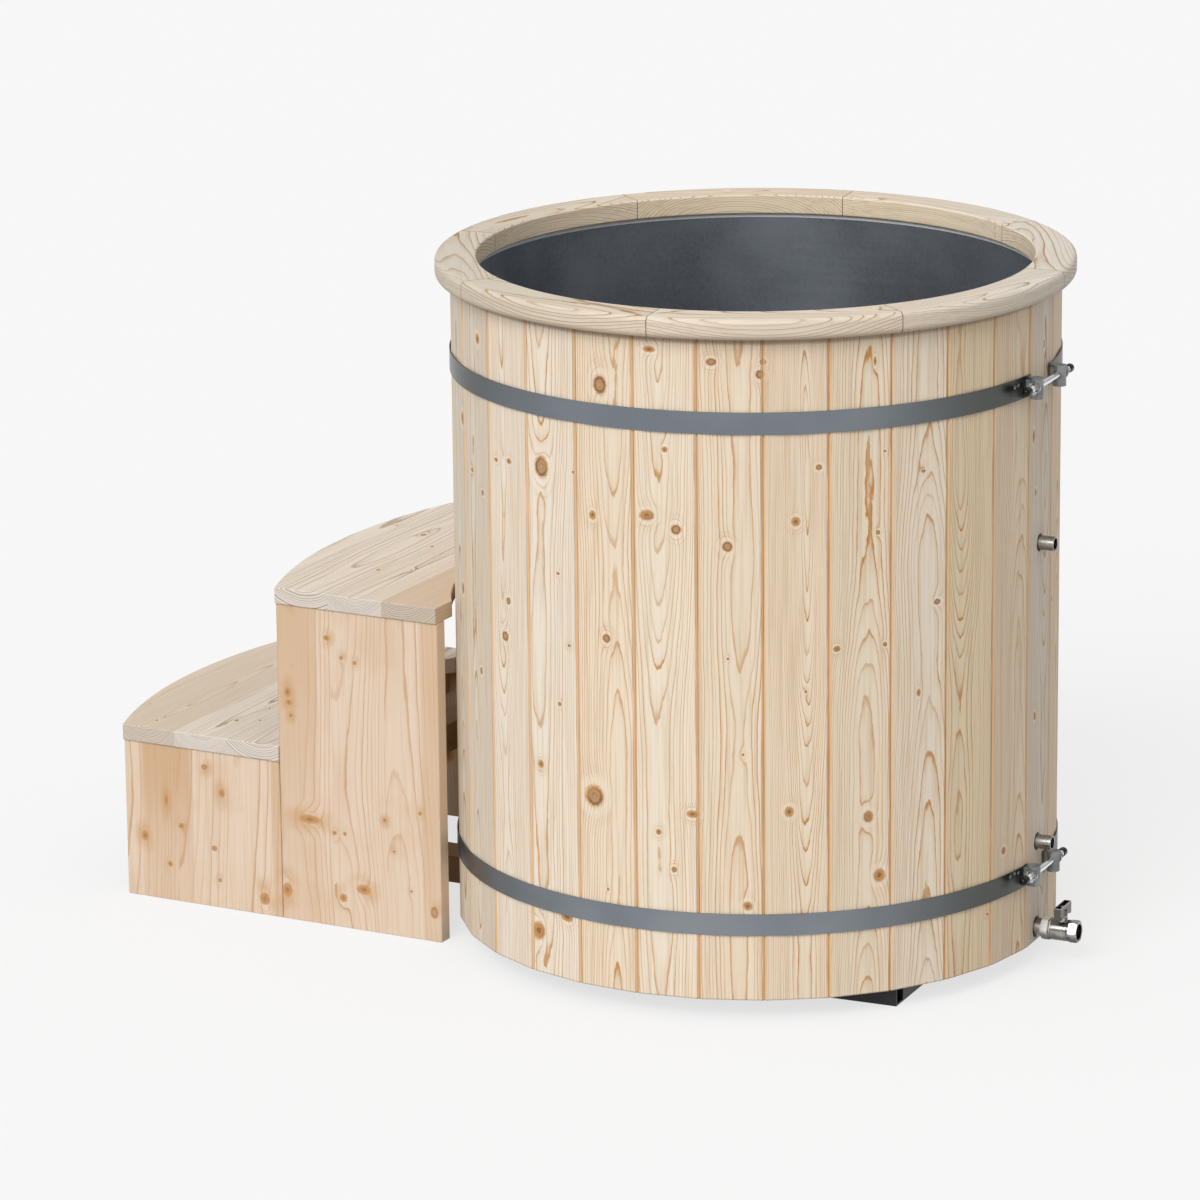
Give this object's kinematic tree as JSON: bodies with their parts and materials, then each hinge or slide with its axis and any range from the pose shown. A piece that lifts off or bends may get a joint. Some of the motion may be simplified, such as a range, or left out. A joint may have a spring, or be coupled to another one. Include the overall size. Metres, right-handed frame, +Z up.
{
  "type": "cold plunge tub",
  "caption": "Round stave tub with a steel liner, timber rim, steel hoops on screw tensioners, water stubs and a drain ball valve, with a loose set of steps.",
  "frame": {"origin": "on the floor, on the tub's upright axis, under the middle cross beam", "axes": "+Z up, +X from the tub's axis along the drain pipe and the stubs; the steps stand on the -X side"},
  "size_m": [1.5064, 0.945, 1.0405],
  "materials": {
    "stave_wood": "planed, untreated",
    "rim_wood": "planed, untreated",
    "step_wood": "planed, untreated",
    "tread_wood": "planed, untreated",
    "liner_steel": "satin mill sheet",
    "hoop_steel": "satin strip",
    "lug_casting": "dull cast",
    "bright_steel": "bright",
    "cap_plastic": "matt black",
    "stub_steel": "satin pipe",
    "valve_nickel": "nickel plated",
    "seat_plastic": "white, hidden",
    "tube_steel": "near-black"
  },
  "bodies": {
    "tub": {"staves_01_03": "stave_wood", "staves_04_06": "stave_wood", "staves_07_09": "stave_wood", "staves_10_12": "stave_wood", "staves_13_15": "stave_wood", "staves_16_18": "stave_wood", "staves_19_21": "stave_wood", "staves_22_24": "stave_wood", "staves_25_27": "stave_wood", "staves_28_30": "stave_wood", "rim_segment_1": "rim_wood", "rim_segment_2": "rim_wood", "rim_segment_3": "rim_wood", "rim_segment_4": "rim_wood", "rim_segment_5": "rim_wood", "rim_segment_6": "rim_wood", "rim_segment_7": "rim_wood", "rim_segment_8": "rim_wood", "bearers": "tube_steel", "cross_beams": "tube_steel", "floor_joists": "step_wood", "liner_shell": "liner_steel", "liner_floor": "liner_steel", "upper_hoop": "hoop_steel", "lower_hoop": "hoop_steel", "upper_lugs": "lug_casting", "lower_lugs": "lug_casting", "upper_rod": "bright_steel", "lower_rod": "bright_steel", "far_nuts": "bright_steel", "far_washers": "bright_steel", "rod_caps": "cap_plastic", "upper_stub": "stub_steel", "lower_stub": "stub_steel", "drain_pipe": "stub_steel", "valve_body": "valve_nickel", "valve_end_piece": "valve_nickel", "valve_seats": "seat_plastic", "valve_gland_nut": "valve_nickel"},
    "valve_lever": {"valve_ball": "valve_nickel", "valve_stem": "valve_nickel", "valve_handle": "valve_nickel", "valve_handle_nut": "bright_steel"},
    "steps": {"near_lower_side": "step_wood", "near_upper_side": "step_wood", "far_lower_side": "step_wood", "far_upper_side": "step_wood", "lower_tread": "tread_wood", "upper_tread": "tread_wood", "lower_front_rail": "step_wood", "lower_rear_rail": "step_wood", "upper_front_rail": "step_wood", "rear_stretcher": "step_wood", "floor_runner": "step_wood", "toe_rail": "step_wood", "tread_dowels": "step_wood"},
    "upper_thrust": {"upper_washer": "bright_steel"},
    "upper_screw": {"upper_nut": "bright_steel"},
    "lower_thrust": {"lower_washer": "bright_steel"},
    "lower_screw": {"lower_nut": "bright_steel"}
  },
  "joints": [
    {"name": "valve_turn", "type": "hinge", "parent": "tub", "child": "valve_lever", "pos_m": [0.49, 0, 0.05], "axis": [0, 0, 1], "range_deg": [0, 90]},
    {"name": "steps_slide", "type": "slide", "parent": "tub", "child": "steps", "axis": [-0.9979, 0.0651, 0], "range_m": [0, 0.5]},
    {"name": "upper_nut_travel", "type": "slide", "parent": "tub", "child": "upper_thrust", "axis": [-0.0244, -0.9997, 0], "range_m": [0, 0.0061]},
    {"name": "upper_nut_turn", "type": "hinge", "parent": "upper_thrust", "child": "upper_screw", "pos_m": [0.46221, -0.07081, 0.887], "axis": [-0.0244, -0.9997, 0], "range_deg": [0, 1440]},
    {"name": "lower_nut_travel", "type": "slide", "parent": "tub", "child": "lower_thrust", "axis": [-0.0244, -0.9997, 0], "range_m": [0, 0.0061]},
    {"name": "lower_nut_turn", "type": "hinge", "parent": "lower_thrust", "child": "lower_screw", "pos_m": [0.46236, -0.06482, 0.149], "axis": [-0.0244, -0.9997, 0], "range_deg": [0, 1440]}
  ],
  "couplings": [
    {"joint": "upper_nut_travel", "follows": "upper_nut_turn", "m_per_rad": 0.00023873},
    {"joint": "lower_nut_travel", "follows": "lower_nut_turn", "m_per_rad": 0.00023873}
  ]
}
